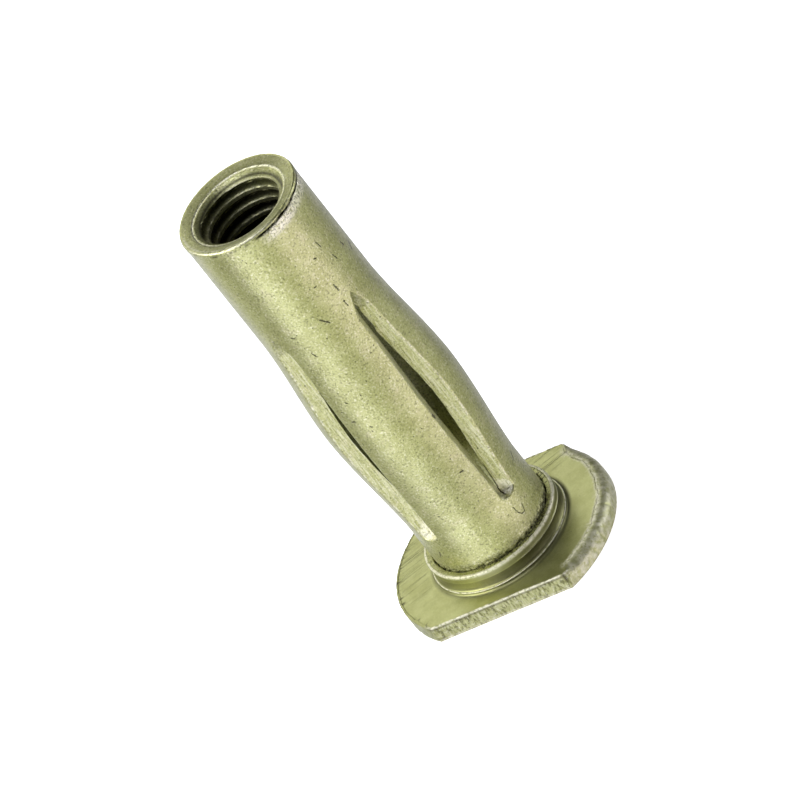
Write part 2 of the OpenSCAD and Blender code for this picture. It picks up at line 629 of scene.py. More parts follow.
@dataclass(frozen=True)
class Plating:
    """Chromated zinc on steel: satin, pale yellow-green, speckled, with pits, wear, painted
    highlights and painted shade.

    Args:
        name: The material's name.
        deep: Colour of the thicker film.
        pale: Colour of the thinner film.
        blush: Warm grey-pink tint in cloudy patches.
        bare_and_highlight: Colour where the film is rubbed through or broken, also laid on painted
            highlights.
        dull: Colour of the dark specks.
        dirt_and_shade: Near-black colour of pits, scratches and soiled cracks, also laid on
            painted shade in cracks, bores and recesses.
        roughness: Roughness of the plain surface.
        wear_and_highlight_dullness: How much less metallic the places with wear and painted
            highlights are.
        speckle: Strength of the fine speckle.
        pits: Strength of the scattered pits.
        drag: Strength of straight drag marks.
        drag_turn: Direction of the drag marks about Z, in degrees.
        grain_height: Height of the fine grain, in millimetres.
        chip: Colour of the net of lines on sheared places.
        chip_size: Size of that net's cells, in millimetres.
        chip_strength: Strength of that net.
        strokes: Scratches on the sleeve.
        cloud_scale: Clouds of thicker and thinner film, per millimetre.
        patch_scale: Patches of blush, per millimetre.
        fine_scale: Fine speckle, per millimetre.
        coarse_scale: Coarser mottling, per millimetre.
        pit_scale: Pits, per millimetre.
    """

    name: str
    deep: Colour = (0.45, 0.46, 0.17)
    pale: Colour = (0.52, 0.535, 0.21)
    blush: Colour = (0.57, 0.53, 0.28)
    # Also laid on painted highlights.
    bare_and_highlight: Colour = (0.95, 0.93, 0.64)
    dull: Colour = (0.17, 0.17, 0.075)
    # Also laid on painted shade.
    dirt_and_shade: Colour = (0.035, 0.033, 0.014)
    roughness: float = 0.36
    wear_and_highlight_dullness: float = 0.1
    speckle: float = 0.5
    pits: float = 1.0
    drag: float = 0.0
    drag_turn: float = 0.0
    grain_height: float = 0.010
    chip: Colour = (0.05, 0.048, 0.02)
    chip_size: float = 0.35
    chip_strength: float = 0.85
    strokes: tuple[Stroke, ...] = ()
    cloud_scale: float = 0.45
    patch_scale: float = 0.9
    fine_scale: float = 5.0
    coarse_scale: float = 3.2
    pit_scale: float = 1.3

    def material(self) -> bpy.types.Material:
        """Builds the material.

        Returns:
            The new material.
        """
        board = Board(self.name)
        place = board.place()
        wear_and_highlight, dirt_and_shade = board.mask(Mask.WEAR_AND_HIGHLIGHT), board.mask(Mask.DIRT_AND_SHADE)
        sheared, wall = board.mask(Mask.SHEARED), board.mask(Mask.WALL)

        clouds = board.band(board.noise(place, self.cloud_scale, 4.0), 0.36, 0.64)
        patches = board.band(board.noise(place, self.patch_scale, 3.0), 0.5, 0.72)
        fine = board.noise(place, self.fine_scale, 2.0)
        coarse = board.noise(place, self.coarse_scale, 3.0)
        speck = board.band(fine, 0.54, 0.70) * self.speckle * 0.65
        dots = board.band(board.cells(place, self.pit_scale, "F1"), 0.11, 0.055) * self.pits
        dots = dots * board.band(coarse, 0.48, 0.54)
        streaks = board.noise(board.scaled(place, (3.5, 3.5, 0.22)), 2.0, 3.0)
        rough_wall = board.noise(board.scaled(place, (3.2, 3.2, 1.1)), 1.3, 3.0)

        colour = board.mix(clouds, self.deep, self.pale)
        colour = board.mix(patches * 0.4, colour, self.blush)
        colour = board.mix(speck, colour, self.bare_and_highlight)
        colour = board.mix(board.band(fine, 0.45, 0.33) * self.speckle, colour, self.dull)
        striped = wall * (0.0 if self.drag else 0.4)
        colour = board.mix(striped * board.band(streaks, 0.42, 0.66), colour, self.bare_and_highlight)
        colour = board.mix(sheared * board.band(rough_wall, 0.48, 0.68) * 0.27, colour, self.bare_and_highlight)
        colour = board.mix(sheared * board.band(rough_wall, 0.52, 0.36) * 0.6, colour, self.dirt_and_shade)
        # Bare colour on wear and on painted highlights.
        colour = board.mix(wear_and_highlight * board.band(coarse, 0.3, 0.55), colour, self.bare_and_highlight)
        scuffs = wear_and_highlight * (1 - wall) * board.band(fine, 0.48, 0.40) * self.speckle
        colour = board.mix(scuffs, colour, self.dull)
        cells = board.cells(place, 1.0 / self.chip_size, "DISTANCE_TO_EDGE")
        edges = sheared * board.band(cells, 0.07, 0.0) * board.band(coarse, 0.47, 0.55)
        colour = board.mix(edges * self.chip_strength, colour, self.chip)
        colour = board.mix(dots * 0.8, colour, self.dirt_and_shade)
        # Dark colour on dirt and on painted shade.
        colour = board.mix(dirt_and_shade, colour, self.dirt_and_shade)

        height = fine * 1.0 + coarse * 1.2 - dots * 4.0
        if self.strokes:
            marks = self._marks(board, place, fine)
            colour = board.mix(marks * 0.8, colour, self.dirt_and_shade)
            height = height - marks * 5.0
        height = height + striped * streaks * 5.0 + sheared * rough_wall * 5.0
        rough = coarse * 0.16 + (self.roughness - 0.08) + wear_and_highlight * 0.06 + sheared * 0.12
        if self.drag:
            along = board.scaled(board.turned(place, self.drag_turn), (0.07, 9.0, 1.0))
            lines = board.band(board.noise(along, 1.3, 2.0), 0.57, 0.66)
            lines = lines * (0.12 + wall * 0.88) * self.drag
            colour = board.mix(lines * 0.5, colour, self.dull)
            height = height - lines * 2.5
            rough = rough + lines * 0.1
        depth = {"Height": height, "Distance": self.grain_height * MM, "Strength": 1.0}
        normal = board.node("ShaderNodeBump", None, depth)
        board.principled(
            {
                "Base Color": colour,
                "Roughness": rough,
                "Metallic": 0.86 - wear_and_highlight * self.wear_and_highlight_dullness,
                "Normal": normal,
                "Coat Weight": 0.12,
                "Coat Roughness": 0.45,
            }
        )
        return board.material

    def _marks(self, board: Board, place: Wire, ragged: Wire) -> Wire:
        """Draws all scratches on the unrolled sleeve.

        Args:
            board: The material's board.
            place: The rest place of the surface.
            ragged: Noise that makes the scratches uneven.

        Returns:
            1 on the scratches and 0 away from them.
        """
        parts = board.node("ShaderNodeSeparateXYZ", None, {0: place})
        x, y, z = (Wire(board, parts.socket.node.outputs[k]) for k in range(3))
        angle = board.node("ShaderNodeMath", {"operation": "ARCTAN2"}, {0: y, 1: x})
        across = angle * SLEEVE_R + ragged * 0.3 - 0.15
        spot = board.node("ShaderNodeCombineXYZ", None, {0: across, 1: z})
        total = None
        for stroke in self.strokes:
            mark = board.stroke(spot, *stroke.ends(), stroke.width * 0.88)
            total = mark if total is None else total.most(mark)
        return total


class Finish(Enum):
    """The anchor's finishes."""

    SLEEVE = "sleeve_zinc"
    FLANGE = "flange_zinc"
    THREAD = "thread_zinc"


@dataclass
class Workshop:
    """Holds the finished materials and gives them to the pieces.

    Attributes:
        materials: The materials made so far, by finish.
    """

    materials: dict[Finish, bpy.types.Material] = field(default_factory=dict)

    def dress(self, piece: bpy.types.Object, finish: Finish, node: str) -> bpy.types.Object:
        """Gives a piece its finish and says which solid it stands for.

        Args:
            piece: The piece.
            finish: Its finish.
            node: The CAD node that it stands for.

        Returns:
            The piece.
        """
        if finish not in self.materials:
            self.materials[finish] = FINISHES[finish].material()
        piece.data.materials.append(self.materials[finish])
        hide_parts(node)
        log.info("%s: %d faces, for %s", piece.name, len(piece.data.polygons), node)
        return piece


FINISHES = {
    Finish.SLEEVE: Plating(
        "speckled_zinc", speckle=0.65, grain_height=0.032, strokes=SLEEVE_STROKES
    ),
    Finish.FLANGE: Plating(
        "drawn_zinc",
        deep=(0.40, 0.41, 0.15),
        pale=(0.475, 0.49, 0.195),
        blush=(0.46, 0.465, 0.19),
        dirt_and_shade=(0.05, 0.043, 0.011),
        chip=(0.92, 0.91, 0.70),
        chip_size=0.9,
        chip_strength=0.35,
        bare_and_highlight=(0.90, 0.875, 0.61),
        roughness=0.42,
        wear_and_highlight_dullness=0.5,
        speckle=0.12,
        pits=0.5,
        drag=1.0,
        drag_turn=-14.0,
        grain_height=0.006,
    ),
    Finish.THREAD: Plating(
        "cut_zinc", roughness=0.34, speckle=0.65, grain_height=0.032, strokes=NOSE_STROKES
    ),
}


@dataclass
class Flange:
    """Plate with two sheared flats and a turned collar, round the sleeve's foot.

    Attributes:
        radius: Radius of the plate.
        thickness: Thickness of the plate.
        near_flat: Distance from the axis to the nearer flat.
        far_flat: Distance from the axis to the farther flat.
        flat_turn: Direction of the nearer flat about the axis.
        hole_r: Radius of the hole for the sleeve.
        roll_width: Width of the rolled rim.
        roll_height: Height of the rolled rim.
        column_step: Angle between two columns of the mesh.
        corner_fade: Angle over which a flat's roughness fades into the round.
    """

    radius: float = 12.125
    thickness: float = 2.0
    near_flat: float = 9.5
    far_flat: float = 10.24
    flat_turn: float = math.radians(-102.25)
    hole_r: float = SLEEVE_R
    roll_width: float = 1.05
    roll_height: float = 0.95
    column_step: float = math.radians(0.5)
    corner_fade: float = math.radians(7)

    def columns(self) -> tuple[np.ndarray, np.ndarray, np.ndarray]:
        """Columns round the flange, with one on each corner of the flats.

        Returns:
            Each column's angle, the rim's radius there, and 1 on a flat fading to 0 on the round.
        """
        near_half = math.acos(self.near_flat / self.radius)
        far_half = math.acos(self.far_flat / self.radius)
        far_turn = self.flat_turn + math.pi
        corners = [
            self.flat_turn - near_half,
            self.flat_turn + near_half,
            far_turn - far_half,
            far_turn + far_half,
            self.flat_turn - near_half + 2 * math.pi,
        ]
        angles, flat = [], []
        for k, (start, end) in enumerate(zip(corners, corners[1:])):
            count = round((end - start) / self.column_step)
            part = np.linspace(start, end, count, endpoint=False)
            from_corner = np.minimum(part - start, end - part) / self.corner_fade
            angles.append(part)
            flat.append(np.ones(count) if k % 2 == 0 else 1 - ease(from_corner))
        angle, on_flat = np.concatenate(angles), np.concatenate(flat)
        near = self.near_flat / np.maximum(np.cos(angle - self.flat_turn), 1e-3)
        far = self.far_flat / np.maximum(np.cos(angle - far_turn), 1e-3)
        near[near <= 0], far[far <= 0] = np.inf, np.inf
        return angle, np.minimum(self.radius, np.minimum(near, far)), on_flat

    @staticmethod
    def dragged(view: np.ndarray) -> np.ndarray:
        """Share of drag marks on the plate at an angle in degrees."""
        left = np.maximum(bump_between(view, 150, 181, 12), bump_between(view, -181, -170, 8))
        return np.maximum(left, 0.7 * bump_between(view, 42, 75, 10))

    @staticmethod
    def open_seam(angle: np.ndarray) -> np.ndarray:
        """Share to which the seam round the sleeve is open.

        Args:
            angle: Angles about the axis, in radians.

        Returns:
            The share at each angle.
        """
        view = azimuth(angle)
        left = bump_between(view, -98, -74, 4)
        right = 0.8 * bump_between(view, -62, -16, 8)
        return np.maximum(np.maximum(left, right), 0.2 + 0.3 * (np.abs(view) > 110))

    def collar_rows(self, angle: np.ndarray) -> list[tuple[np.ndarray, np.ndarray]]:
        """Rows from the plate's hole up and over the collar to the plate's top.

        Args:
            angle: The columns' angles, in radians.

        Returns:
            The radius and height of each row.
        """
        torn = 0.01 + 0.15 * np.clip(wander(angle, 3, 13), -0.1, 1.2) * self.open_seam(angle)
        lift = 0.05 * wander(angle, 5, 17)
        view = azimuth(angle)
        turned = bump_between(view, -62, 130, 25)
        section = [
            (6.72, 4.42),
            (6.84, 4.40),
            (6.92, 4.425),
            (7.03, 4.43),
            (7.10, 4.405),
            (7.16, 4.44),
            (7.27, 4.45),
            (7.35, 4.42),
            (7.40, 4.35),
            (7.42, 4.25),
            (7.40, 4.0),
            (7.40, 3.72),
            (7.395 + 0.015 * turned, 3.62),
            (7.39 + 0.06 * turned, 3.575),
            (7.385 + 0.055 * turned, 3.50),
            (7.38, 3.42),
            (7.37, 3.1),
            (7.39, 2.8),
            (7.45, 2.58),
            (7.55, 2.47),
            (7.64, 2.46),
            (7.68, 2.42),
            (7.685, 2.34),
            (7.66, 2.22),
            (7.73, 2.10),
            (7.9, 2.02),
            (8.2, 2.0),
        ]
        rows = [
            (self.hole_r + torn * 0.2, 3.0),
            (self.hole_r + torn, 4.18 + lift),
            (self.hole_r + torn + 0.05, 4.33 + lift),
        ]
        return rows + section

    def rim_rows(
        self, angle: np.ndarray, rim: np.ndarray, on_flat: np.ndarray
    ) -> list[tuple[np.ndarray, np.ndarray]]:
        """Rows from the plate's top over the rim to its outer face.

        Args:
            angle: The columns' angles, in radians.
            rim: The rim's radius in each column.
            on_flat: 1 on a flat, fading to 0 on the round.

        Returns:
            The radius and height of each row.
        """
        ragged = 0.14 * wander(angle, 11, 14, 10)
        view = azimuth(angle)
        broad = 0.1 + 0.9 * bump_between(view, -75, 35, 30)
        roll = 0.15 + 0.02 * ragged + (1 - on_flat) * broad * (self.roll_width + ragged - 0.1)
        drop = 0.07 + (1 - on_flat) * (self.roll_height - 0.07) * broad
        rows = []
        for share in (0.12, 0.3, 0.5, 0.7, 0.85, 0.95):
            rows.append((8.2 + (rim - roll - 8.2) * share, self.thickness))
        rows.append((rim - roll - 0.12, self.thickness))
        rows.append((rim - roll - 0.05, self.thickness - 0.05 * (1 - on_flat)))
        for turn in np.radians((0, 8, 18, 30, 42, 54, 66, 78, 90)):
            r = rim - roll * (1 - np.sin(turn))
            rows.append((r, self.thickness - drop * (1 - np.cos(turn))))
        side_top = self.thickness - drop
        for share in (0.1, 0.22, 0.36, 0.5, 0.64, 0.78, 0.9):
            rows.append((rim, side_top + (0.22 - side_top) * share))
        for turn in np.radians((0, 30, 60, 90)):
            rows.append((rim - 0.14 * (1 - np.cos(turn)), 0.14 * (1 - np.sin(turn))))
        return rows

    def build(self) -> bpy.types.Object:
        """Builds the whole flange as one closed ring.

        Returns:
            The new piece.
        """
        angle, rim, on_flat = self.columns()
        rows = self.collar_rows(angle) + self.rim_rows(angle, rim, on_flat)
        rows += [(9.0, 0.0), (7.8, 0.0), (6.8, 0.0), (6.62, 0.0), (self.hole_r + 0.02, 0.14)]
        radius, height = lathe(rows, angle)
        points = polar(radius, angle, height)
        return self._weather(points, radius, height, angle, rim, on_flat).ring("flange_plate")

    def _weather(
        self,
        points: np.ndarray,
        radius: np.ndarray,
        height: np.ndarray,
        angle: np.ndarray,
        rim: np.ndarray,
        on_flat: np.ndarray,
    ) -> Skin:
        """Roughens the rim and the flats and paints the flange's masks.

        Args:
            points: The points, by row and column.
            radius: Their radii before roughening.
            height: Their heights before roughening.
            angle: The columns' angles, in radians.
            rim: The rim's radius in each column.
            on_flat: 1 on a flat, fading to 0 on the round.

        Returns:
            The weathered skin.
        """
        view = azimuth(angle)
        edge = ease((radius - rim + 1.3) / 0.25) * (height > 0.02)
        side = ease((radius - rim + 0.05) / 0.05) * (height > 0.05)
        cut = on_flat[None, :]
        flat = cut * side
        along = np.stack([points[..., 0], points[..., 1], points[..., 2] * 0.25], axis=-1)
        streak = grain(along, 0.42, 4)
        lumps = grain(points, 0.5, 6)
        corner = self.flat_turn + math.acos(self.near_flat / self.radius)
        notch = np.exp(-(((angle - corner) / 0.012) ** 2)) * ease((height - 0.6) / 0.5) * side
        push = flat * (0.07 * streak + 0.02 * lumps) + edge * (1 - cut) * 0.05 * lumps
        shrink = 1 - (np.abs(push) - push + 0.22 * notch) / np.maximum(radius, 1)
        points[..., 0] *= shrink
        points[..., 1] *= shrink
        burr = cut * bump_between(height, 1.88, 2.01, 0.02) * (radius > rim - 0.2)
        heel = cut * bump_between(height, 0.05, 0.2, 0.03) * (radius > rim - 0.12)
        points[..., 2] += burr * 0.05 * (0.8 + streak)
        rise = (radius - rim + self.roll_width + 0.3) / 0.2
        broad = bump_between(view, -75, 35, 30)
        # Painted light on the rim's rolled band, on the side that faces the lamps.
        lip = (1 - cut) * bump_between(rise, 0.0, 2.0, 0.5) * (height > 1.93) * broad
        # Painted highlights on the collar: its top band, the bead at its rim, the ridge at its
        # foot and a thin line on its flank.
        crest = bump_between(radius, 7.15, 7.41, 0.05) * (height > 4.3)
        bead = 0.7 * bump_between(height, 4.12, 4.36, 0.06) * (radius > 7.3)
        ridge = bump_between(radius, 7.60, 7.70, 0.03) * bump_between(height, 2.36, 2.5, 0.04)
        line = bump_between(height, 3.55, 3.60, 0.02) * (radius > 7.425) * (radius < 7.5)
        # The collar's foot fillet, flank and neck get painted shade below.
        fillet = bump_between(radius, 7.65, 8.15, 0.04) * bump_between(height, 1.99, 2.36, 0.02)
        shelf = cut * bump_between(height, 1.70, 1.82, 0.03) * side
        flank = bump_between(height, 2.60, 3.48, 0.1) * bump_between(radius, 7.3, 7.5, 0.03)
        neck = bump_between(height, 3.64, 4.2, 0.05) * bump_between(radius, 7.36, 7.46, 0.03)
        # Painted shade in the seam's gap round the sleeve, strongest where the seam is open.
        crack = bump_between(radius, 6.4, 6.60, 0.03) * (height > 2.5)
        crack = crack * (0.25 + 0.75 * self.open_seam(angle))
        front = bump_between(view, -90, 20, 30)
        crumbs = grain(points, 0.17, 12)
        torn = (radius < 7.12) * (height > 4.2)
        points[..., 2] += torn * crumbs * 0.05
        torn = torn * ease(crumbs * 5.0 - 0.1) * (0.4 + 0.5 * front)
        # Painted light on the rolled rim's lit side, patchy with the lumps.
        rolled = edge * (1 - cut) * (0.5 + 0.6 * lumps) * bump_between(view, -80, 60, 25)
        nicks = edge * (1 - cut) * ease(grain(points, 0.33, 8) * 3 - 0.9)
        nicks = nicks * (radius > rim - 0.5) * (1 - bump_between(view, -80, 60, 25))
        # Painted highlights on the collar and the rolled rim, with the real bright burr and heel
        # of the sheared flats.
        bright = 0.5 * lip + np.maximum(0.8 * crest, bead) + 0.9 * ridge + 0.6 * line + burr
        bright = bright + 0.7 * heel + 0.8 * rolled
        # Painted shade in the seam and on the collar's flank, neck and foot fillet, more on the
        # front; darker below the burr and in the corner notch; the torn specks and the rim's nicks
        # are real marks.
        marks_and_shade = [
            crack,
            torn,
            flank * (0.45 + 0.25 * front),
            neck * (0.25 + 0.15 * front),
            fillet * (0.35 + 0.25 * front),
            0.6 * shelf,
            0.9 * notch,
            0.8 * nicks,
        ]
        masks = {
            Mask.WEAR_AND_HIGHLIGHT: bright,
            Mask.WALL: (height > 1.9) * (radius > 8.6) * self.dragged(view),
            Mask.DIRT_AND_SHADE: np.maximum.reduce(marks_and_shade),
            Mask.SHEARED: np.maximum(flat * (height < 1.85), rolled * 0.3),
        }
        return Skin(points, masks)

    def fit(self, shop: Workshop) -> None:
        """Builds and dresses the flange on the fixed body."""
        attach(shop.dress(self.build(), Finish.FLANGE, "flange"), "base")


@dataclass
class Foot:
    """Round foot of the sleeve, from the flange's outer face to the roots of the strips.

    Attributes:
        form: Shape of the sleeve.
        seam_z: Height of the collar's upper edge, where the seam runs.
        rough_height: Height over which the metal above the seam is rough.
        mouth_chamfer: Chamfer of the mouth at the outer face.
        crack_depth: Depth of the cracks at the slots' feet.
        crack_side: Angle from a strip's middle beyond which a crack opens.
        shaded_crack_side: Angle from a strip's middle beyond which a crack gets painted shade.
    """

    form: SleeveForm
    seam_z: float = 4.4
    rough_height: float = 1.1
    mouth_chamfer: float = 0.28
    crack_depth: float = 0.3
    crack_side: float = 0.784
    shaded_crack_side: float = 0.777

    def build(self) -> bpy.types.Object:
        """Builds the foot as one closed ring.

        Returns:
            The new piece.
        """
        angle, offset = self.form.around()
        top = self.form.strip_low
        outer = steps((0.14, 1.5), (4.0, 0.07), (5.5, 0.3), (8.85, 0.055), (top, 1.0))
        inner = steps((top, 0.6), (self.mouth_chamfer, 1.0))
        outer_r = self.form.outline(offset[None, :], outer[:, None])
        crack = self.form.crack(outer)[:, None] * (np.abs(offset) > self.crack_side)
        outer_r = outer_r - self.crack_depth * crack
        rows_r = [np.full_like(angle, self.form.outer_r - 0.12), *outer_r]
        rows_r += [np.full_like(angle, self.form.bore_r) for _ in inner]
        rows_r.append(np.full_like(angle, self.form.bore_r + self.mouth_chamfer))
        heights = np.concatenate([[0.0], outer, inner, [0.0]])
        radius, height = np.array(rows_r), heights[:, None] + 0 * angle
        points = polar(radius, angle, height)
        outside = radius > self.form.bore_r + 0.02
        rough = ease((self.seam_z + self.rough_height - height) / self.rough_height) * outside
        lumps = grain(points, 0.24, 9)
        dent = 1 - rough * (0.12 * lumps + 0.02) / self.form.outer_r
        points[..., :2] *= dent[..., None]
        above = height > self.seam_z - 0.3
        share = self.form.wall_share(offset[None, :], height) * outside
        # Painted highlight with wear on the slot walls' lower ends, less on the side that lies in
        # shade.
        shaded = bump_between(np.degrees(angle), -62, -45.2, 1.0)
        facet = share * self.form.foot_wear_and_highlight(height, radius) * (1 - 0.8 * shaded)
        inner_side = (radius < self.form.bore_r + 0.02) & (height > 0.3)
        cracked = np.abs(offset) > self.shaded_crack_side
        # Grime specks on the rough band above the seam, painted shade inside the bore and in the
        # cracks, and painted highlight with wear on the slot walls' lower ends.
        masks = {
            Mask.DIRT_AND_SHADE: np.maximum(
                rough * above * ease(lumps * 4.5 - 0.8) * 0.7,
                np.maximum(inner_side * 0.1, cracked * self.form.crack(height)),
            ),
            Mask.WALL: share,
            Mask.WEAR_AND_HIGHLIGHT: facet,
            Mask.SHEARED: rough * above,
        }
        return Skin(points, masks).ring("sleeve_foot_ring")

    def fit(self, shop: Workshop) -> None:
        """Builds and dresses the foot on the fixed body."""
        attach(shop.dress(self.build(), Finish.SLEEVE, "sleeve_foot"), "base")


@dataclass
class Nose:
    """Threaded end of the sleeve, with the run-outs of the slots and a dished end face.

    Attributes:
        form: Shape of the sleeve.
        minor_r: Radius of the thread's crests.
        major_r: Radius of the thread's roots.
        pitch: Rise of the thread in one turn.
        thread_low: Height at which the thread begins.
        thread_row: Height between two rows of the threaded wall.
        thread_phase: Turn of the thread about the axis, as a share of the pitch.
        cone_low: Height at which the lead-in cone begins.
        cone_slope: Widening of the cone per millimetre of height.
    """

    form: SleeveForm
    minor_r: float = 4.188
    major_r: float = 5.0
    pitch: float = 1.5
    thread_low: float = 39.58
    thread_row: float = 0.07
    thread_phase: float = 0.35
    cone_low: float = 50.25
    cone_slope: float = 1.5

    def thread_radius(self, angle: np.ndarray, z: np.ndarray) -> np.ndarray:
        """Radius of the threaded wall, with its lead-in cone and its shallow last turn.

        Args:
            angle: The columns' angles, in radians.
            z: Height of the row, in millimetres.

        Returns:
            The radius in each column.
        """
        turn = np.mod(z / self.pitch - angle / (2 * math.pi) - self.thread_phase, 1.0)
        away = np.abs(turn - 0.5) * 16
        slope = np.clip((away - 1.8) / 4, 0, 1)
        depth = 1 - (0.45 * slope + 0.55 * ease(slope))
        depth = depth * ease((z - self.thread_low) / 1.2)
        radius = self.minor_r + (self.major_r - self.minor_r) * depth
        cone = self.minor_r + np.clip(z - self.cone_low, 0, 0.6) * self.cone_slope
        return np.maximum(radius, cone)

    @staticmethod
    def lifted(angle: np.ndarray) -> np.ndarray:
        """Share to which the lip stands away from the wall."""
        return bump_between(azimuth(angle), -72, 2, 14) * (0.8 + 0.45 * wander(angle, 21, 12))

    def lip(self, angle: np.ndarray) -> list[tuple[np.ndarray, np.ndarray]]:
        """Rows over the rolled lip, which is lifted from the wall on one side.

        Args:
            angle: The columns' angles, in radians.

        Returns:
            The radius and height of each row.
        """
        view = azimuth(angle)
        lifted = np.clip(self.lifted(angle), 0, 1.25)
        swell = 0.5 + 0.5 * bump_between(view, -165, -80, 20)
        drift = 0.07 * wander(angle, 22, 14)
        full = self.form.outer_r
        section = [
            (49.95, 0.0, 0.0),
            (50.20, 0.0, 0.01),
            (50.42, -0.01, 0.03),
            (50.54, -0.04, 0.04),
            (50.60, -0.12, 0.05),
            (50.66, -0.26, 0.055),
            (50.75, -0.25, 0.06),
            (50.81, -0.05, 0.07),
            (50.86, 0.03, 0.075),
            (50.93, 0.045, 0.065),
            (51.02, 0.015, 0.03),
            (51.10, -0.04, -0.03),
            (51.15, -0.13, -0.12),
        ]
        swell = swell * (1 - np.clip(lifted, 0, 1))
        return [
            (full + a * lifted + b * swell, z + drift * (50.3 < z < 50.92)) for z, a, b in section
        ]

    def build(self) -> bpy.types.Object:
        """Builds the nose as one closed ring.

        Returns:
            The new piece.
        """
        angle, offset = self.form.around()
        low = self.form.strip_high
        outer = steps((low, 0.06), (self.form.crown_runout + 0.1, 0.4), (49.7, 1.0))
        rows = [(self.form.outline(offset, z + 0 * offset), z) for z in outer]
        rows += self.lip(angle)
        face = [
            (6.2, 51.115),
            (5.95, 51.065),
            (5.86, 51.05),
            (5.82, 51.035),
            (5.76, 51.03),
            (5.5, 50.96),
            (5.32, 50.90),
            (5.24, 50.88),
            (5.19, 50.82),
        ]
        rows += face
        for z in np.arange(50.79, self.thread_low, -self.thread_row):
            rows.append((self.thread_radius(angle, z), z))
        rows += [(self.minor_r + k * 1.112, 39.5 - k * 0.7) for k in (0, 0.5, 1)]
        rows += [(self.form.bore_r, z) for z in (38.2, 37.5, low)]
        radius, height = lathe(rows, angle)
        return self._weather(radius, height, angle, offset).ring("threaded_nose_shell")

    def _weather(
        self, radius: np.ndarray, height: np.ndarray, angle: np.ndarray, offset: np.ndarray
    ) -> Skin:
        """Dents the surface a little and paints the nose's masks.

        Args:
            radius: The points' radii, by row and column.
            height: Their heights.
            angle: The columns' angles, in radians.
            offset: The columns' angles from the nearest strip, in radians.

        Returns:
            The weathered skin.
        """
        points = polar(radius, angle, height)
        outside = radius > 6.0
        lumps = grain(points, 0.4, 13)
        end = ease((height - 49.6) / 0.6) * outside
        points[..., :2] *= (1 + 0.02 * end * lumps / 6.5)[..., None]
        view = azimuth(angle)
        lifted = self.lifted(angle)
        # Painted shadow under the lip where it stands away from the wall, with faint patches of it
        # further round.
        faint = 0.55 * bump_between(view, -125, -75, 12) * np.clip(2 * wander(angle, 23, 22), 0, 1)
        undercut = bump_between(height, 50.58, 50.79, 0.04) * outside * (lifted * 1.5 + faint)
        strip = bump_between(height, 49.5, 50.5, 0.25) * outside * bump_between(view, -66, -6, 16)
        mouth = bump_between(radius, 5.12, 5.26, 0.03) * (height > 50.7)
        face = bump_between(radius, 5.3, 6.25, 0.1) * (height > 50.8)
        shade = face * (0.27 + 0.3 * bump_between(view, 40, 150, 40))
        # Painted highlight on the lip's outer corner, on one side; the band below the lip, the
        # mouth's edge and the crests carry wear.
        rim = bump_between(height, 50.98, 51.12, 0.03) * outside
        rim = rim * bump_between(view, -170, -75, 20)
        crest = (radius < self.minor_r + 0.12) & (height > self.thread_low)
        # Painted shade inside the thread, darker deeper down and at the roots.
        root = ease((radius - self.minor_r - 0.15) / 0.4) * (height < 50.3)
        deep = 0.3 + 0.45 * ease((50.0 - height) / 5) + 0.4 * root
        inside = (radius < 5.2) & (height < 50.6)
        # A painted dark line round the mouth, the shade of a groove at the thread's start, drawn
        # in colour only.
        seam = 0.85 * bump_between(height, 50.44, 50.50, 0.05) * (radius < 5.1)
        share = self.form.wall_share(offset[None, :], height) * (radius > 5.4) * (height < 39)
        masks = {
            Mask.WEAR_AND_HIGHLIGHT: 0.9 * strip + mouth + 0.7 * rim + 0.25 * crest,
            Mask.DIRT_AND_SHADE: np.maximum.reduce([undercut, inside * deep, shade, seam]),
            Mask.WALL: share,
        }
        return Skin(points, masks)

    def fit(self, shop: Workshop) -> None:
        """Builds and dresses the nose on the nose's body."""
        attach(shop.dress(self.build(), Finish.THREAD, "threaded_nose"), "nose")


@dataclass(frozen=True)
class Bend:
    """One stretch of a strip.

    Attributes:
        name: Name of the stretch.
        low: Height at which it begins, in millimetres.
        high: Height at which it ends.
        joint: Second half of the joint's name. Not used.
        half_zone: Half the height over which it bends. Not used.
        node: The CAD node that it stands for.
    """

    name: str
    low: float
    high: float
    joint: str
    half_zone: float
    node: str


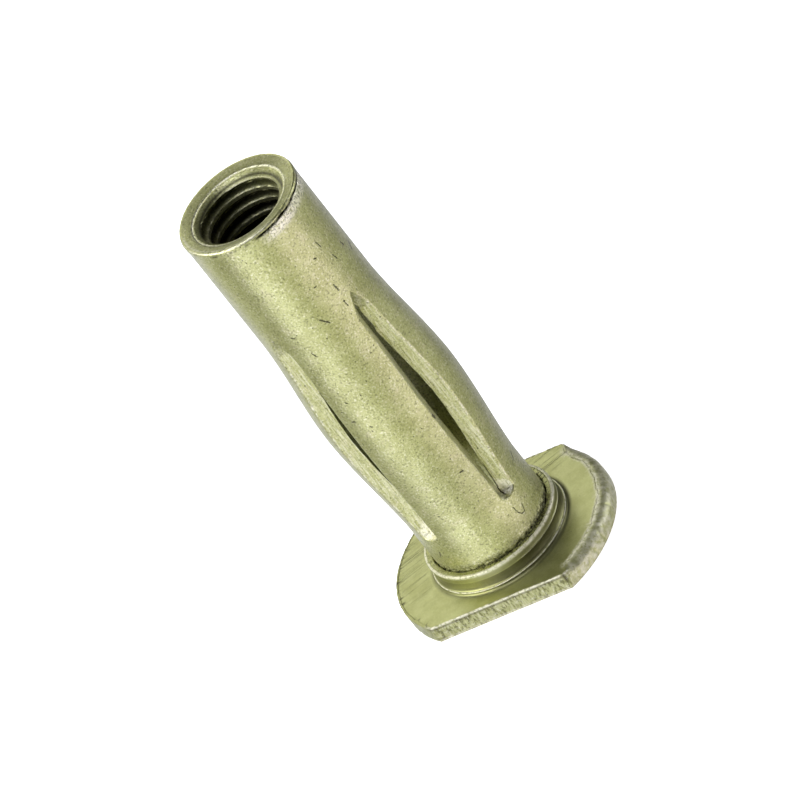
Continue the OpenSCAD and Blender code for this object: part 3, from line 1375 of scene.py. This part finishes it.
@dataclass
class Strip:
    """One of the four strips, in three stretches that meet where it stays straight.

    Attributes:
        form: Shape of the sleeve.
        number: Number of the strip, from 1 to 4.
        foot_cut: Height at which the foot's stretch meets the elbow's, in millimetres.
        crown_cut: Height at which the elbow's stretch meets the crown's.
        row_step: Height between two rows of the mesh.
        edge_wear_and_highlight: Strength of the wear and painted highlight on the strip's edges.
    """

    form: SleeveForm
    number: int
    foot_cut: float = 17.0
    crown_cut: float = 29.0
    row_step: float = 0.24
    edge_wear_and_highlight: float = 1.0

    def bends(self) -> list[Bend]:
        """Lists the strip's stretches from its foot to its crown.

        Returns:
            The three stretches.
        """
        low, high, n = self.form.strip_low, self.form.strip_high, self.number
        return [
            Bend("foot", low, self.foot_cut, "foot_bend", 1.9, f"rib_{n}_lower"),
            Bend("elbow", self.foot_cut, self.crown_cut, "elbow", 3.6, f"rib_{n}_upper"),
            Bend("crown", self.crown_cut, high, "crown_bend", 1.9, f"rib_{n}_crown"),
        ]

    @staticmethod
    def parted(offset: np.ndarray, z: np.ndarray) -> np.ndarray:
        """How far the strip's sides stand back, so that bent strips pass each other.

        Args:
            offset: Angles from the strip's middle, in radians, without their sign.
            z: Heights, in millimetres.

        Returns:
            Angles to take off, in radians.
        """
        side = ease((offset - math.radians(40.5)) / math.radians(4.1))
        crown = math.radians(1.3) * bump_between(z, 33.5, 36.2, 0.6)
        return side * (crown + math.radians(0.6) * bump_between(z, 10.5, 13.0, 0.5))

    def build(self, bend: Bend) -> bpy.types.Object:
        """Builds one stretch as a closed bar.

        Args:
            bend: The stretch.

        Returns:
            The new piece.
        """
        z = steps((bend.low, self.row_step), (bend.high, 1.0))[:, None]
        offset = self.form.offsets()[None, :]
        count = offset.shape[1]  # columns on the outside, ahead of those in the bore
        offset = offset - np.sign(offset) * self.parted(np.abs(offset), z)
        outer_r = self.form.outline(offset, z)
        inner_r = np.full_like(outer_r, self.form.bore_r)
        radius = np.concatenate([outer_r, inner_r], axis=1)
        angle = np.concatenate([offset, offset[:, ::-1]], axis=1)
        points = polar(radius, angle, z)
        points[..., 0] += self.form.bow(z + 0 * angle)
        turn = strip_turn(self.number)
        spun = points.copy()
        spun[..., 0] = points[..., 0] * math.cos(turn) - points[..., 1] * math.sin(turn)
        spun[..., 1] = points[..., 0] * math.sin(turn) + points[..., 1] * math.cos(turn)
        wall = np.zeros_like(radius)
        wall[:, :count] = self.form.wall_share(offset, z)
        # Wear and painted highlight along the strip's outer edges, broken up by the nicks.
        edge = bump_between(radius, 6.41, 6.475, 0.02) * self.edge_wear_and_highlight
        shaded = (offset > 0) * (self.number == 1)
        # Painted highlight with wear on the slot walls' lower ends, less on strip 1's side that
        # lies in shade.
        root = self.form.foot_wear_and_highlight(z, radius) * (radius > self.form.bore_r + 0.02)
        root[:, :count] *= 1 - 0.8 * shaded
        # Painted shade in the crack at the wall's inner edge above the slot's foot.
        split = bump_between(radius, 5.31, 5.44, 0.03) * bump_between(z, 9.0, 12.5, 0.8)
        nicked = ease(grain(spun, 0.5, 30 + self.number) * 2.0 + 0.55)
        # Faint painted shade on the bore side.
        inside = np.zeros_like(radius)
        inside[:, count:] = 0.1
        # Painted shade on strip 1's wall on its shaded side near the foot.
        dim = 0.25 * shaded * wall[:, :count] * bump_between(z, 9.0, 15.0, 3.0)
        inside[:, :count] = np.maximum(0.9 * split[:, :count], dim)
        wear_and_highlight = np.maximum(edge * nicked, root * wall)
        masks = {Mask.WALL: wall, Mask.WEAR_AND_HIGHLIGHT: wear_and_highlight, Mask.DIRT_AND_SHADE: inside}
        return Skin(spun, masks).bar(f"strip_{self.number}_{bend.name}")

    def fit(self, shop: Workshop) -> None:
        """Builds and dresses the stretches.

        Args:
            shop: The workshop that dresses them.
        """
        for bend in self.bends():
            piece = shop.dress(self.build(bend), Finish.SLEEVE, bend.node)
            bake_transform(piece)


@dataclass
class Studio:
    """Camera, soft lights and pale floor.

    Attributes:
        azimuth: Turn of the camera about the axis, in radians.
        elevation: Its angle above the horizon.
        roll: Its roll about its own line of sight.
        distance: Its distance from the point that it is aimed at, in metres.
        lens: Its focal length, in millimetres.
        aim_height: Height of that point on the axis, in metres.
        aim_right: Shift of that point to the camera's right.
        aim_up: Shift of that point upward in the camera's view.
        floor_half: Half the width of the floor, in metres.
        floor_drop: How far the floor lies below the outer face, in millimetres.
    """

    azimuth: float = math.radians(90 + FACING)
    elevation: float = math.radians(33.19)
    roll: float = math.radians(38.43)
    distance: float = 1.015
    lens: float = 470.7
    aim_height: float = 25.1 * MM
    aim_right: float = 2.109 * MM
    aim_up: float = -1.727 * MM
    floor_half: float = 3.0
    floor_drop: float = 0.02

    def axes(self) -> tuple[Vector, Vector, Vector]:
        """Works out the camera's directions.

        Returns:
            Right, up and backward.
        """
        az, el = self.azimuth, self.elevation
        back = Vector((math.sin(az) * math.cos(el), -math.cos(az) * math.cos(el), math.sin(el)))
        level = Vector((math.cos(az), math.sin(az), 0.0))
        upright = back.cross(level)
        right = level * math.cos(self.roll) - upright * math.sin(self.roll)
        up = level * math.sin(self.roll) + upright * math.cos(self.roll)
        return right, up, back

    def camera(self) -> None:
        """Makes the camera."""
        right, up, back = self.axes()
        data = bpy.data.cameras.new("camera")
        data.lens = self.lens
        data.sensor_width = 36.0
        data.clip_start, data.clip_end = 0.05, 20.0
        made = bpy.data.objects.new("camera", data)
        aim = Vector((0, 0, self.aim_height)) + right * self.aim_right + up * self.aim_up
        turn = Matrix((right, up, back)).transposed().to_4x4()
        made.matrix_world = Matrix.Translation(aim + back * self.distance) @ turn
        bpy.context.scene.collection.objects.link(made)
        bpy.context.scene.camera = made

    def lamp(
        self,
        name: str,
        turn: float,
        lift: float,
        size: tuple[float, float],
        power: float,
        colour: Colour = (1.0, 1.0, 1.0),
        distance: float = 0.5,
    ) -> None:
        """Makes one soft rectangular lamp that faces the anchor.

        Args:
            name: Its name.
            turn: Its angle about the anchor's axis from the camera's side, in degrees.
            lift: Its height above the anchor's middle, as an angle in degrees.
            size: Its width and height, in metres.
            power: Its power, in watts.
            colour: Its colour.
            distance: Its distance from the anchor, in metres.
        """
        data = bpy.data.lights.new(name, "AREA")
        data.shape = "RECTANGLE"
        data.size, data.size_y = size
        data.energy = power
        data.color = colour
        angle = self.azimuth - math.pi / 2 + math.radians(turn)
        rise = math.radians(lift)
        away = Vector(
            (math.cos(angle) * math.cos(rise), math.sin(angle) * math.cos(rise), math.sin(rise))
        )
        made = bpy.data.objects.new(name, data)
        made.location = away * distance + Vector((0, 0, self.aim_height))
        made.rotation_mode = "QUATERNION"
        made.rotation_quaternion = away.to_track_quat("Z", "Y")
        bpy.context.scene.collection.objects.link(made)

    def lights(self) -> None:
        """Makes the soft lamps and the even light of the room."""
        world = bpy.data.worlds.new("room")
        world.use_nodes = True
        world.node_tree.nodes["Background"].inputs["Color"].default_value = (1, 1, 1, 1)
        world.node_tree.nodes["Background"].inputs["Strength"].default_value = 0.05
        bpy.context.scene.world = world
        bpy.context.scene.view_settings.view_transform = "Standard"
        cool, warm = (1.0, 1.0, 1.32), (0.98, 1.0, 0.9)
        self.lamp("left_key", -50, -28, (0.34, 0.45), 0.87, cool)
        self.lamp("front_fill", -10, -28, (0.34, 0.45), 0.39, warm)
        self.lamp("right_key", 38, -28, (0.45, 0.45), 0.95, (1.05, 0.98, 1.3))
        self.lamp("left_side", -110, -28, (0.34, 0.45), 0.28, warm)
        self.lamp("right_side", 90, -28, (0.34, 0.45), 0.25, warm)
        self.lamp("left_rear", -150, -28, (0.34, 0.45), 0.42, cool)
        self.lamp("right_rear", 150, -28, (0.34, 0.45), 0.28, cool)
        self.lamp("left_sky", -80, 25, (0.5, 0.24), 2.1, (1.0, 1.0, 1.05))
        self.lamp("back_sky", 180, 45, (0.3, 0.45), 0.65, (1.0, 1.0, 1.05))
        self.lamp("right_sky", 92, 8, (0.2, 0.4), 0.7, cool)
        self.lamp("far_left_sky", -135, 25, (0.5, 0.24), 0.4, (1.0, 1.0, 1.05))
        self.lamp("top_sky", -45, 66, (0.3, 0.3), 0.8, cool)

    def floor(self) -> None:
        """Makes the pale floor."""
        half = self.floor_half
        mesh = bpy.data.meshes.new("floor")
        low = self.floor_drop * -MM
        corners = [(-half, -half, low), (half, -half, low), (half, half, low), (-half, half, low)]
        mesh.from_pydata(corners, [], [(0, 1, 2, 3)])
        made = bpy.data.objects.new("floor", mesh)
        board = Board("pale_floor")
        glow = {"Base Color": (1, 1, 1, 1), "Roughness": 0.9, "Emission Color": (1, 1, 1, 1)}
        glow["Emission Strength"] = 0.9
        board.principled(glow)
        mesh.materials.append(board.material)
        made.visible_glossy = False
        made.visible_diffuse = False
        made.visible_shadow = False
        bpy.context.scene.collection.objects.link(made)


def main() -> None:
    """Builds the anchor and its studio."""
    logging.basicConfig(level=logging.INFO, format="%(name)s: %(message)s")
    studio = Studio()
    studio.camera()
    studio.lights()
    studio.floor()
    form = SleeveForm()
    shop = Workshop()
    Flange().fit(shop)
    Foot(form).fit(shop)
    for number in STRIPS:
        Strip(form, number).fit(shop)
    Nose(form).fit(shop)


if __name__ == "__main__":
    main()
